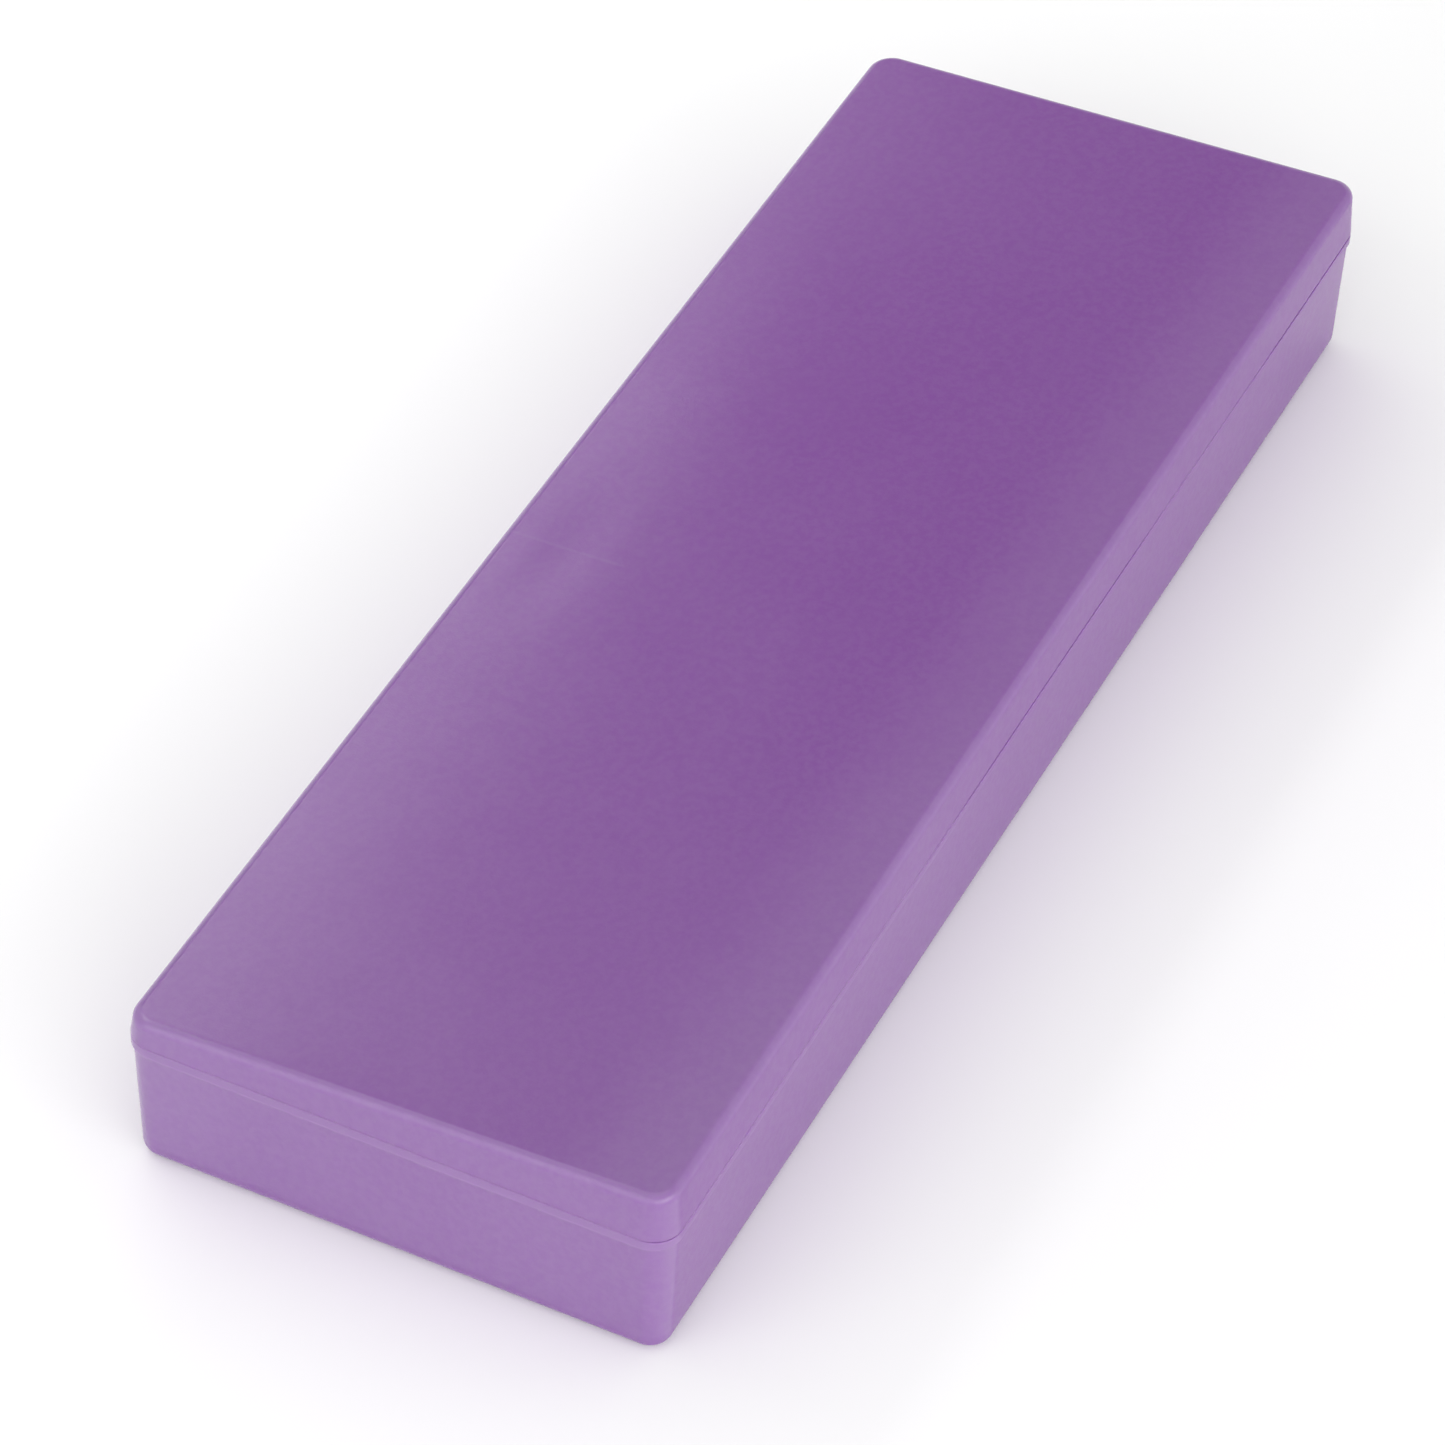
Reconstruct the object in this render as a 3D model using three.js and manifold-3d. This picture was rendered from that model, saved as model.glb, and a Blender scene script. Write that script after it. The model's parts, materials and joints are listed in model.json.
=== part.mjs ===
// Hinged pencil case: a deep base shell and a shallow lid shell in stiff polypropylene, joined
// along one long side by two film-hinge webs and closed on the other by snap tongues. The lid is
// a slight wedge: its flat top slopes down from the front edge, which opens, to the hinge edge.
// Millimetres. +X runs along the case, +Y points to the hinge side, +Z is up.
// The origin is the middle of the base shell's flat underside.

import * as THREE from "three";
import { mergeVertices } from "three/addons/utils/BufferGeometryUtils.js";
import Module from "manifold-3d";

// Outer size
const LENGTH = 205;
const WIDTH = 70.4;
const HEIGHT = 26.5;
const LID_FALL = 3.4;
const CORNER_RADIUS = 3.7;
const SMALLEST_RADIUS = 0.6;

// Where the two shells meet
const SEAM_Z = 19.7;
const SEAM_GAP = 0.3;
const BASE_RIM_Z = SEAM_Z - SEAM_GAP / 2;
const LID_RIM_Z = SEAM_Z + SEAM_GAP / 2;

// Walls: drafts are inward lean per millimetre of height away from the rim
const RIM_WALL = 1.55;
const BASE_WALL = 1.3;
const LID_WALL = 1.4;
const FLOOR = 1.5;
const LID_PANEL = 1.3;
const BASE_DRAFT = 0.032;
const LID_DRAFT = 0.056;
const RIM_BAND_HEIGHT = 1.5;
const RIM_BAND_STEP = RIM_WALL - BASE_WALL;
const BASE_EDGE_RADIUS = 2.2;
const LID_EDGE_RADIUS = 1.3;
const BASE_FILLET = 1.4;
const LID_FILLET = 1.1;

// The front wall is drawn in a little at mid-length, most of all at its free rims
const RIM_BOW = 0.7;
const LID_TOP_BOW = 0.3;

// Tongues that hang from the lid into the mouth of the base
const FIT_CLEARANCE = 0.3;
const TONGUE_WALL = 1.1;
const TONGUE_DEPTH = 2.6;
const TONGUE_LEAD_IN = 0.4;
const TONGUE_ROOT_RISE = 0.5;
const TONGUE_ROOT_SLOPE = 0.45;
const SNAP_TONGUE = [30.4, 70.3];
const CORNER_TONGUE = [80.5, 94.5];
const END_TONGUE_HALF = 20;

// Snap beads on the front tongues, and the grooves in the base that they click into
const BEAD_OUT = 0.5;
const BEAD_HALF = 0.5;
const BEAD_BELOW_RIM = 1.3;
const BEAD_END_MARGIN = 4;

// Film hinge: two webs, each a thin leaf let into either shell's back wall, flush with it.
// The fold line stands HINGE_OUT outside the wall.
const HINGE_OUT = 0.25;
const LEAF_PROUD = 0.05;
const LEAF_THICKNESS = 0.5;
const LEAF_HEIGHT = 1.1;
const LEAF_END_GAP = 0.05;
const LEAF_POCKET_GAP = 0.15;
const WEB_START = 9;
const WEB_LENGTH = 52;
const FOLD_Y = WIDTH / 2 + HINGE_OUT;

// Facets
const CORNER_STEPS = 5;
const EDGE_ROUND_STEPS = 4;
const FRONT_STEPS = 12;

const wasm = await Module();
wasm.setup();

const frostedPurple = (name) =>
  new THREE.MeshStandardMaterial({ name, color: 0x8f63a8, roughness: 0.55, metalness: 0 });

// ---- outlines -------------------------------------------------------------------------------

/** How far the front wall is drawn in at mid-length, at a given height. */
function bowAt(z) {
  if (z <= SEAM_Z) {
    return (RIM_BOW * z) / SEAM_Z;
  }
  const up = (z - SEAM_Z) / (HEIGHT - SEAM_Z);
  return RIM_BOW + (LID_TOP_BOW - RIM_BOW) * up;
}

/** The same bow shared out along the wall: full at x = 0, nothing at the corners. */
function bowAlong(x, z) {
  const straightHalf = LENGTH / 2 - CORNER_RADIUS;
  const share = Math.min(Math.abs(x) / straightHalf, 1);
  return bowAt(z) * Math.cos((share * Math.PI) / 2) ** 2;
}

/** Points of a rounded corner, counter-clockwise, with the end points of the arc included. */
function cornerPoints(centreX, centreY, radius, startAngle) {
  const points = [];
  for (let i = 0; i <= CORNER_STEPS; i += 1) {
    const angle = startAngle + (Math.PI / 2) * (i / CORNER_STEPS);
    points.push([centreX + radius * Math.cos(angle), centreY + radius * Math.sin(angle)]);
  }
  return points;
}

/** Points along the bowed front wall between its two corners. */
function frontPoints(halfStraight, y, z) {
  const points = [];
  for (let i = 1; i < FRONT_STEPS; i += 1) {
    const x = halfStraight * ((2 * i) / FRONT_STEPS - 1);
    points.push([x, y + bowAlong(x, z)]);
  }
  return points;
}

/**
 * The case's plan outline moved in by inset, counter-clockwise from above. It lies at height z
 * along the front edge and slopes down by fall towards the hinge edge.
 */
function outline(inset, z, fall) {
  const radius = Math.max(CORNER_RADIUS - inset, SMALLEST_RADIUS);
  const cornerX = LENGTH / 2 - inset - radius;
  const cornerY = WIDTH / 2 - inset - radius;
  const sideY = WIDTH / 2 - inset;
  const flat = [
    ...cornerPoints(cornerX, cornerY, radius, 0),
    ...cornerPoints(-cornerX, cornerY, radius, Math.PI / 2),
    ...cornerPoints(-cornerX, -cornerY, radius, Math.PI),
    ...frontPoints(cornerX, -sideY, z),
    ...cornerPoints(cornerX, -cornerY, radius, 1.5 * Math.PI),
  ];
  return flat.map(([x, y]) => new THREE.Vector3(x, y, z - fall * (y / WIDTH + 0.5)));
}

// ---- lofts ----------------------------------------------------------------------------------

/** Triangles between two outlines with the same number of points. */
function joinRings(triangles, lower, upper) {
  for (let i = 0; i < lower.length; i += 1) {
    const next = (i + 1) % lower.length;
    triangles.push(lower[i], lower[next], upper[next]);
    triangles.push(lower[i], upper[next], upper[i]);
  }
}

/** A fan that closes an outline, facing up or down. */
function capRing(triangles, ring, facesUp) {
  const centre = new THREE.Vector3();
  ring.forEach((point) => centre.addScaledVector(point, 1 / ring.length));
  for (let i = 0; i < ring.length; i += 1) {
    const next = (i + 1) % ring.length;
    if (facesUp) {
      triangles.push(centre, ring[i], ring[next]);
    } else {
      triangles.push(centre, ring[next], ring[i]);
    }
  }
}

/** A closed body through outlines given as [inset, z, fall] sections; a hoop has no end caps. */
function loft(sections, isHoop = false) {
  const rings = sections.map(([inset, z, fall = 0]) => outline(inset, z, fall));
  const triangles = [];
  for (let i = 0; i + 1 < rings.length; i += 1) {
    joinRings(triangles, rings[i], rings[i + 1]);
  }
  if (isHoop) {
    joinRings(triangles, rings[rings.length - 1], rings[0]);
  } else {
    capRing(triangles, rings[0], false);
    capRing(triangles, rings[rings.length - 1], true);
  }
  return mergeVertices(new THREE.BufferGeometry().setFromPoints(triangles));
}

/** Sections of a quarter-round edge from startAngle, round a centre given as [inset, z]. */
function roundSections(centreInset, centreZ, radius, startAngle, fall = 0) {
  const sections = [];
  for (let i = 0; i <= EDGE_ROUND_STEPS; i += 1) {
    const angle = startAngle + (Math.PI / 2) * (i / EDGE_ROUND_STEPS);
    sections.push([
      centreInset - radius * Math.cos(angle),
      centreZ + radius * Math.sin(angle),
      fall,
    ]);
  }
  return sections;
}

// ---- boolean joins and cuts -----------------------------------------------------------------

function toSolid(geometry) {
  const bare = geometry.clone();
  bare.deleteAttribute("normal");
  bare.deleteAttribute("uv");
  const merged = mergeVertices(bare);
  return new wasm.Manifold(
    new wasm.Mesh({
      numProp: 3,
      vertProperties: new Float32Array(merged.attributes.position.array),
      triVerts: new Uint32Array(merged.index.array),
    }),
  );
}

function toGeometry(solid) {
  const mesh = solid.getMesh();
  const geometry = new THREE.BufferGeometry();
  geometry.setAttribute("position", new THREE.BufferAttribute(mesh.vertProperties, 3));
  geometry.setIndex(new THREE.BufferAttribute(mesh.triVerts, 1));
  geometry.computeVertexNormals();
  return geometry;
}

/** A block between pairs of x, y and z values. */
function block([x0, x1], [y0, y1], [z0, z1]) {
  const box = new THREE.BoxGeometry(x1 - x0, y1 - y0, z1 - z0);
  box.translate((x0 + x1) / 2, (y0 + y1) / 2, (z0 + z1) / 2);
  return box;
}

/** An upright block of space between two x values and two y values, taller than the case. */
const column = (x0, x1, y0, y1) => toSolid(block([x0, x1], [y0, y1], [-HEIGHT, 2 * HEIGHT]));

const joined = (solids) => solids.reduce((whole, next) => whole.add(next));

/** Spaces along the front wall that hold a pair of stretches, one in each half of the case. */
function frontPair([near, far], margin = 0) {
  const front = [-WIDTH / 2 - 1, -WIDTH / 4];
  return [
    column(near + margin, far - margin, ...front),
    column(-far + margin, -near - margin, ...front),
  ];
}

// ---- tongues, beads and grooves -------------------------------------------------------------

/** Inset of the base's inner wall at height z. */
const baseInnerInset = (z) => RIM_WALL + BASE_DRAFT * (BASE_RIM_Z - z);

/** Inset of the tongues' outer face at height z. */
const tongueFaceInset = (z) => baseInnerInset(z) + FIT_CLEARANCE;

/** A hoop round the whole mouth with the tongues' cross-section; its root lies in the lid wall. */
function tongueHoop() {
  const tipZ = SEAM_Z - TONGUE_DEPTH;
  const rootZ = LID_RIM_Z + TONGUE_ROOT_RISE;
  const tip = tongueFaceInset(tipZ);
  const back = tongueFaceInset(BASE_RIM_Z) + TONGUE_WALL;
  const inWall = LID_WALL / 2;
  return toSolid(
    loft(
      [
        [back, tipZ],
        [tip + TONGUE_LEAD_IN, tipZ],
        [tip, tipZ + TONGUE_LEAD_IN],
        [tongueFaceInset(LID_RIM_Z), LID_RIM_Z],
        [inWall, LID_RIM_Z],
        [inWall, rootZ + TONGUE_ROOT_SLOPE * (back - inWall)],
        [back, rootZ],
      ],
      true,
    ),
  );
}

/** A hoop with the bead's cross-section, grown on every face by extra. */
function beadHoop(extra) {
  const middleZ = BASE_RIM_Z - BEAD_BELOW_RIM;
  const face = tongueFaceInset(middleZ);
  const half = BEAD_HALF + extra;
  return toSolid(
    loft(
      [
        [face + BEAD_HALF, middleZ - half],
        [face, middleZ - half],
        [face - BEAD_OUT - extra, middleZ - half / 3],
        [face - BEAD_OUT - extra, middleZ + half / 3],
        [face, middleZ + half],
        [face + BEAD_HALF, middleZ + half],
      ],
      true,
    ),
  );
}

function tongueSpaces() {
  const endDepth = LENGTH / 2 - WIDTH / 4;
  return joined([
    ...frontPair(SNAP_TONGUE),
    ...frontPair(CORNER_TONGUE),
    column(endDepth, LENGTH / 2 + 1, -END_TONGUE_HALF, END_TONGUE_HALF),
    column(-LENGTH / 2 - 1, -endDepth, -END_TONGUE_HALF, END_TONGUE_HALF),
  ]);
}

// ---- hinge webs -----------------------------------------------------------------------------

const WEBS = {
  left: [-WEB_START - WEB_LENGTH, -WEB_START],
  right: [WEB_START, WEB_START + WEB_LENGTH],
};

/** Heights between which a leaf stands, below or above the fold line. */
const baseLeafRange = () => [SEAM_Z - LEAF_END_GAP - LEAF_HEIGHT, SEAM_Z - LEAF_END_GAP];
const lidLeafRange = () => [SEAM_Z + LEAF_END_GAP, SEAM_Z + LEAF_END_GAP + LEAF_HEIGHT];

const leafFaceY = WIDTH / 2 + LEAF_PROUD;

/** Upright flat strip let into the back wall. */
function hingeLeaf(across, heights) {
  return toGeometry(toSolid(block(across, [leafFaceY - LEAF_THICKNESS, leafFaceY], heights)));
}

/** Recesses in the back wall that the two leaves of one shell are let into. */
function webPockets([z0, z1]) {
  const gap = LEAF_POCKET_GAP;
  const depth = [leafFaceY - LEAF_THICKNESS - gap, FOLD_Y + 1];
  return Object.values(WEBS).map(([x0, x1]) =>
    toSolid(block([x0 - gap, x1 + gap], depth, [z0 - gap, z1 + gap])),
  );
}

// ---- the pieces -----------------------------------------------------------------------------

/** Deep tray: outer wall from the underside up, a slightly proud rim band, inner wall down. */
function baseShell() {
  const bandFootZ = BASE_RIM_Z - RIM_BAND_HEIGHT;
  const outerInset = (z) => RIM_BAND_STEP + BASE_DRAFT * (BASE_RIM_Z - z);
  const edge = BASE_EDGE_RADIUS;
  const fillet = BASE_FILLET;
  const tray = toSolid(
    loft([
      ...roundSections(outerInset(edge) + edge, edge, edge, -Math.PI / 2),
      [outerInset(bandFootZ), bandFootZ],
      [0, bandFootZ + RIM_BAND_STEP],
      [0, BASE_RIM_Z],
      [RIM_WALL, BASE_RIM_Z],
      ...roundSections(
        baseInnerInset(FLOOR + fillet) + fillet,
        FLOOR + fillet,
        fillet,
        -Math.PI / 2,
      ).reverse(),
    ]),
  );
  const grooves = beadHoop(FIT_CLEARANCE).intersect(
    joined(frontPair(SNAP_TONGUE, BEAD_END_MARGIN - FIT_CLEARANCE)),
  );
  return toGeometry(tray.subtract(joined([grooves, ...webPockets(baseLeafRange())])));
}

/** Wedge-shaped cover with tongues on the front and the ends, and beads on the front ones. */
function lidShell() {
  const outerInset = (z) => LID_DRAFT * (z - LID_RIM_Z);
  const edge = LID_EDGE_RADIUS;
  const fillet = LID_FILLET;
  const ceilingZ = HEIGHT - LID_PANEL;
  const innerInset = LID_WALL + outerInset(ceilingZ - fillet);
  const fall = LID_FALL;
  const cover = toSolid(
    loft([
      ...roundSections(innerInset + fillet, ceilingZ - fillet, fillet, 0, fall).reverse(),
      [LID_WALL, LID_RIM_Z],
      [0, LID_RIM_Z],
      ...roundSections(outerInset(HEIGHT - edge) + edge, HEIGHT - edge, edge, 0, fall),
    ]),
  );
  const tongues = tongueHoop().intersect(tongueSpaces());
  const beads = beadHoop(0).intersect(joined(frontPair(SNAP_TONGUE, BEAD_END_MARGIN)));
  const pockets = joined(webPockets(lidLeafRange()));
  return toGeometry(joined([cover, tongues, beads]).subtract(pockets));
}

function piece(name, geometry) {
  const mesh = new THREE.Mesh(geometry, frostedPurple(`${name}_plastic`));
  mesh.name = name;
  return mesh;
}

// ---- assembly -------------------------------------------------------------------------------

const base = new THREE.Group();
const lid = new THREE.Group();
base.add(piece("base_shell", baseShell()));
lid.add(piece("lid_shell", lidShell()));

for (const [side, across] of Object.entries(WEBS)) {
  base.add(piece(`hinge_leaf_base_${side}`, hingeLeaf(across, baseLeafRange())));
  lid.add(piece(`hinge_leaf_lid_${side}`, hingeLeaf(across, lidLeafRange())));
}

const group = new THREE.Group();
group.add(base, lid);

export default group;
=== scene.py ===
"""Frosted purple polypropylene pencil case, closed on a pale floor.

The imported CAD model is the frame. Both shells, the hinge leaves and the hinge films are built here
as fine meshes that stand for the CAD nodes. Lengths are in metres. Left and right are -X and +X;
the front, which opens, is -Y and the back, with the hinge, +Y.
"""

import json
import math

import bpy
import numpy as np
from mathutils import Matrix, Vector


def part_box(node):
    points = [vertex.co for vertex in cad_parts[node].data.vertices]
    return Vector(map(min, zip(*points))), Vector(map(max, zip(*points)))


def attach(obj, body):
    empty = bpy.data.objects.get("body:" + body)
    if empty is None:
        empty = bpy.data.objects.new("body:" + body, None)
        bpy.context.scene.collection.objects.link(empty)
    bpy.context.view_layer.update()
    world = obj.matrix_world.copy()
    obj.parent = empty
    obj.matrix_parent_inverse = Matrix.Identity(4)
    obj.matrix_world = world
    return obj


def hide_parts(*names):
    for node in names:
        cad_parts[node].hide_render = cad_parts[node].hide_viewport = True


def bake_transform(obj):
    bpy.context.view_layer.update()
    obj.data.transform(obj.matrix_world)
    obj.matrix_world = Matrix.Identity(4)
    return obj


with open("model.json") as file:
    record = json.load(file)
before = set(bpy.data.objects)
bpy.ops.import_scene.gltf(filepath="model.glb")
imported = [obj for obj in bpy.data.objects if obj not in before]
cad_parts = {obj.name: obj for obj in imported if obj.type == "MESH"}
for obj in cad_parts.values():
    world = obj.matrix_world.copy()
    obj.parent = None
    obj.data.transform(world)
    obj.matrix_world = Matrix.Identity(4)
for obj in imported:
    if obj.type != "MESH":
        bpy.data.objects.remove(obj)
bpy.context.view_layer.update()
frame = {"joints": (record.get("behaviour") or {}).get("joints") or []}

MM = 0.001
X, Y, Z = 0, 1, 2           # indices of the axes

# ---- measures read from the frame -----------------------------------------------------------

base_low, base_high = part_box("base_shell")
HALF_LENGTH = (base_high.x - base_low.x) / 2
HALF_WIDTH = (base_high.y - base_low.y) / 2
TONGUE_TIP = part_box("lid_shell")[0].z
HINGE_Y, HINGE_Z = frame["joints"][0]["pos_m"][1:]

# ---- measures that differ from the CAD source -----------------------------------------------

SEAM_HALF = 0.03 * MM       # half the gap between the closed rims, except along the front
FRONT_GAP = 0.30 * MM       # how much wider the seam gapes along the front, at most
GAP_REACH = 1.5 * MM        # height over which the base's wall makes up for that
RIM_BOW = 0.35 * MM         # how far the front wall is drawn in at the rims, at mid-length
LIP_ROUND = 0.10 * MM       # rounding of the rims' edges, which the CAD source leaves sharp

BASE_RIM = HINGE_Z - SEAM_HALF
LID_RIM = HINGE_Z + SEAM_HALF

# ---- measures of the mouldings, as in the CAD source ----------------------------------------

HEIGHT = 26.5 * MM          # of the lid's top plane, at the front edge
LID_FALL = 3.4 * MM         # how much lower that plane is at the hinge edge
CORNER_RADIUS = 3.7 * MM
SMALLEST_RADIUS = 0.6 * MM
RIM_WALL = 1.55 * MM
BASE_WALL = 1.3 * MM
LID_WALL = 1.4 * MM
FLOOR = 1.5 * MM
LID_PANEL = 1.3 * MM
BASE_DRAFT = 0.032          # drafts are inward lean per height away from the rim
LID_DRAFT = 0.056
BAND_HEIGHT = 1.5 * MM
BAND_STEP = RIM_WALL - BASE_WALL
BASE_EDGE_RADIUS = 2.2 * MM
LID_EDGE_RADIUS = 1.3 * MM
BASE_FILLET = 1.4 * MM
LID_FILLET = 1.1 * MM
LID_TOP_BOW = 0.3 * MM
FIT_CLEARANCE = 0.3 * MM
TONGUE_WALL = 1.1 * MM
TONGUE_LEAD_IN = 0.4 * MM
TONGUE_ROOT_RISE = 0.5 * MM
TONGUE_ROOT_SLOPE = 0.45
SNAP_TONGUE = (30.4 * MM, 70.3 * MM)      # distances from mid-length
CORNER_TONGUE = (80.5 * MM, 94.5 * MM)
END_TONGUE_HALF = 20 * MM
BEAD_OUT = 0.5 * MM
BEAD_HALF = 0.5 * MM
BEAD_BELOW_RIM = 1.3 * MM
BEAD_END_MARGIN = 4 * MM
POCKET_GAP = 0.15 * MM      # between a hinge leaf and the recess that it is let into

base_leaf_low, base_leaf_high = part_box("hinge_leaf_base_right")
lid_leaf_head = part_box("hinge_leaf_lid_right")[1].z
POCKET_INSET = HALF_WIDTH - base_leaf_low.y + POCKET_GAP
POCKET_START = base_leaf_low.x - POCKET_GAP
POCKET_END = base_leaf_high.x + POCKET_GAP
BASE_POCKET_FOOT = base_leaf_low.z - POCKET_GAP
LID_POCKET_HEAD = lid_leaf_head + POCKET_GAP

# ---- finish of the lid's top ----------------------------------------------------------------

LID_SAG = 0.18 * MM         # the lid's panel hangs a little in the middle
SINK = 0.09 * MM            # depth of a faint hollow in its top, between the hinge webs
SINK_X, SINK_Y = -9 * MM, 26 * MM
SINK_LONG, SINK_WIDE = 12 * MM, 3.5 * MM

# ---- fineness of the meshes -----------------------------------------------------------------

TONGUE_END_RAMP = 0.9 * MM  # length over which a tongue or a bead rises at its ends
POCKET_RAMP = 0.12 * MM     # the same for a hinge recess
RAMP_SHARES = (0, 0.25, 0.5, 0.75, 1)     # places of the stations along such a ramp
SIDE_STEP = 2.4 * MM        # even spacing of the other stations
STATION_CLEARANCE = 0.25 * MM             # of an even station from one on a ramp
STATION_END_MARGIN = 0.05 * MM            # of any station from the side's ends
SMALLEST_STEP = 0.02 * MM
CORNER_STEPS = 12
PANEL_RINGS = 18
BASE_EDGE_STEPS = 8
LID_EDGE_STEPS = 9
FILLET_STEPS = 6
OUTER_LIP_STEPS = 4
INNER_LIP_STEPS = 3
BASE_WALL_STEPS = 7
LID_OUTER_STEPS = 4
LID_INNER_STEPS = 3
SHARP_ANGLE = math.radians(40)            # edges that turn more than this are shaded sharp


# ---- outlines -------------------------------------------------------------------------------

def side_stations(half, marks):
    """Positions along a straight side: even steps, and extra ones round (mark, ramp) places."""
    count = max(2, round(2 * half / SIDE_STEP))
    even = np.linspace(-half, half, count + 1)[1:-1]
    close = []
    for mark, ramp_length in marks:
        for share in RAMP_SHARES:
            place = mark + ramp_length * share
            close += [place, -place]
    clear = [place for place in even if all(abs(place - c) > STATION_CLEARANCE for c in close)]
    kept = []
    for place in sorted(clear + close):
        inside = abs(place) < half - STATION_END_MARGIN
        if inside and (not kept or place - kept[-1] > SMALLEST_STEP):
            kept.append(place)
    return np.array(kept)


def ramp_marks(low, high, length):
    """Where the two end ramps of a stretch from low to high lie."""
    return [(low, length), (high, -length)]


STRAIGHT_X = HALF_LENGTH - CORNER_RADIUS
STRAIGHT_Y = HALF_WIDTH - CORNER_RADIUS
BEAD_ENDS = (SNAP_TONGUE[0] + BEAD_END_MARGIN, SNAP_TONGUE[1] - BEAD_END_MARGIN)
FRONT_STATIONS = side_stations(STRAIGHT_X, [
    *ramp_marks(*SNAP_TONGUE, TONGUE_END_RAMP),
    *ramp_marks(*CORNER_TONGUE, TONGUE_END_RAMP),
    *ramp_marks(*BEAD_ENDS, TONGUE_END_RAMP),
])
BACK_STATIONS = side_stations(STRAIGHT_X, ramp_marks(POCKET_START, POCKET_END, POCKET_RAMP))
SHORT_STATIONS = side_stations(STRAIGHT_Y, [(END_TONGUE_HALF, -TONGUE_END_RAMP)])


def bow_at(z):
    """How far the front wall is drawn in at mid-length, at height z."""
    if z <= HINGE_Z:
        return RIM_BOW * z / HINGE_Z
    up = (z - HINGE_Z) / (HEIGHT - HINGE_Z)
    return RIM_BOW + (LID_TOP_BOW - RIM_BOW) * up


def outline(inset, z, fall=0.0):
    """The case's plan outline moved in by inset, counter-clockwise from above.

    It lies at height z along the front edge and slopes down by fall towards the hinge edge.
    """
    radius = max(CORNER_RADIUS - inset, SMALLEST_RADIUS)
    corner_x = HALF_LENGTH - inset - radius
    corner_y = HALF_WIDTH - inset - radius
    points = []

    def corner(side_x, side_y, start):
        for i in range(CORNER_STEPS + 1):
            angle = start + math.pi / 2 * i / CORNER_STEPS
            x = side_x * corner_x + radius * math.cos(angle)
            y = side_y * corner_y + radius * math.sin(angle)
            points.append((x, y))

    def short_side(side_x):
        for along in SHORT_STATIONS:
            points.append((side_x * (HALF_LENGTH - inset), side_x * along / STRAIGHT_Y * corner_y))

    corner(1, 1, 0)
    for along in BACK_STATIONS[::-1]:
        points.append((along / STRAIGHT_X * corner_x, HALF_WIDTH - inset))
    corner(-1, 1, math.pi / 2)
    short_side(-1)
    corner(-1, -1, math.pi)
    for along in FRONT_STATIONS:
        bow = bow_at(z) * math.cos(math.pi / 2 * along / STRAIGHT_X) ** 2
        points.append((along / STRAIGHT_X * corner_x, -(HALF_WIDTH - inset - bow)))
    corner(1, -1, 1.5 * math.pi)
    short_side(1)
    return np.array([(x, y, z - fall * (y / (2 * HALF_WIDTH) + 0.5)) for x, y in points])


PLAN = outline(0, HINGE_Z)


def ramp(distance, length=TONGUE_END_RAMP):
    """0 to 1 as distance goes from 0 to length."""
    share = np.clip(distance / length, 0, 1)
    return share * share * (3 - 2 * share)


def stretch(along, low, high, length=TONGUE_END_RAMP):
    """1 from low to high and 0 outside, with a ramp inside either end."""
    return ramp(np.minimum(along - low, high - along), length)


def front_weight(ends):
    """1 along a pair of stretches of the front wall, one in each half of the case."""
    on_front = PLAN[:, Y] < -STRAIGHT_Y
    return on_front * stretch(np.abs(PLAN[:, X]), *ends)


def end_weight(half):
    """1 along the middle of each end wall, out to half on either side."""
    on_end = np.abs(PLAN[:, X]) > STRAIGHT_X
    return on_end * ramp(half - np.abs(PLAN[:, Y]))


def pocket_weight():
    """1 along the two hinge recesses of the back wall."""
    on_back = PLAN[:, Y] > STRAIGHT_Y
    return on_back * stretch(np.abs(PLAN[:, X]), POCKET_START, POCKET_END, POCKET_RAMP)


TONGUE = np.maximum.reduce([
    front_weight(SNAP_TONGUE), front_weight(CORNER_TONGUE), end_weight(END_TONGUE_HALF),
])
BEAD = front_weight(BEAD_ENDS)
POCKET = pocket_weight()


def ring(section):
    """A ring of points for one (inset, z, fall) section; arrays of points pass through."""
    return section if isinstance(section, np.ndarray) else outline(*section)


def mixed(plain, formed, weight, late=1):
    """A ring that follows one section, and another one where weight is 1.

    With late above 1 the height follows after the inset, at the power late of the weight.
    """
    weights = np.column_stack([weight, weight, weight ** late])
    return ring(plain) * (1 - weights) + ring(formed) * weights


# ---- the seam's gap along the front ---------------------------------------------------------

SNAP_MIDDLE = (SNAP_TONGUE[0] + SNAP_TONGUE[1]) / 2
SNAP_PULL_REACH = 28 * MM   # distance from a snap tongue's middle at which its pull has gone
SNAP_PULL_RAMP = 20 * MM    # length over which it goes
SNAP_PULL = 0.65            # share of the gap that it closes
LEFT_GAP_SHARE = 0.4        # share of the gap at the left end
GAP_GROWS_FROM = -40 * MM   # place along X from which it grows to the whole
GAP_GROWS_OVER = 30 * MM    # length over which it does


def open_seam(points):
    """Lower the base's rim along the front, least where the snap tongues pull the lid tight."""
    x, y, z = points.T
    front = ramp(-y - STRAIGHT_Y, CORNER_RADIUS / 2)
    near_rim = 1 - ramp(HINGE_Z - z, GAP_REACH)
    tight = ramp(SNAP_PULL_REACH - np.abs(np.abs(x) - SNAP_MIDDLE), SNAP_PULL_RAMP)
    loose_half = ramp(x - GAP_GROWS_FROM, GAP_GROWS_OVER)
    share = (1 - SNAP_PULL * tight) * (LEFT_GAP_SHARE + (1 - LEFT_GAP_SHARE) * loose_half)
    points[:, Z] -= FRONT_GAP * front * near_rim * share


# ---- meshes ---------------------------------------------------------------------------------

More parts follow.
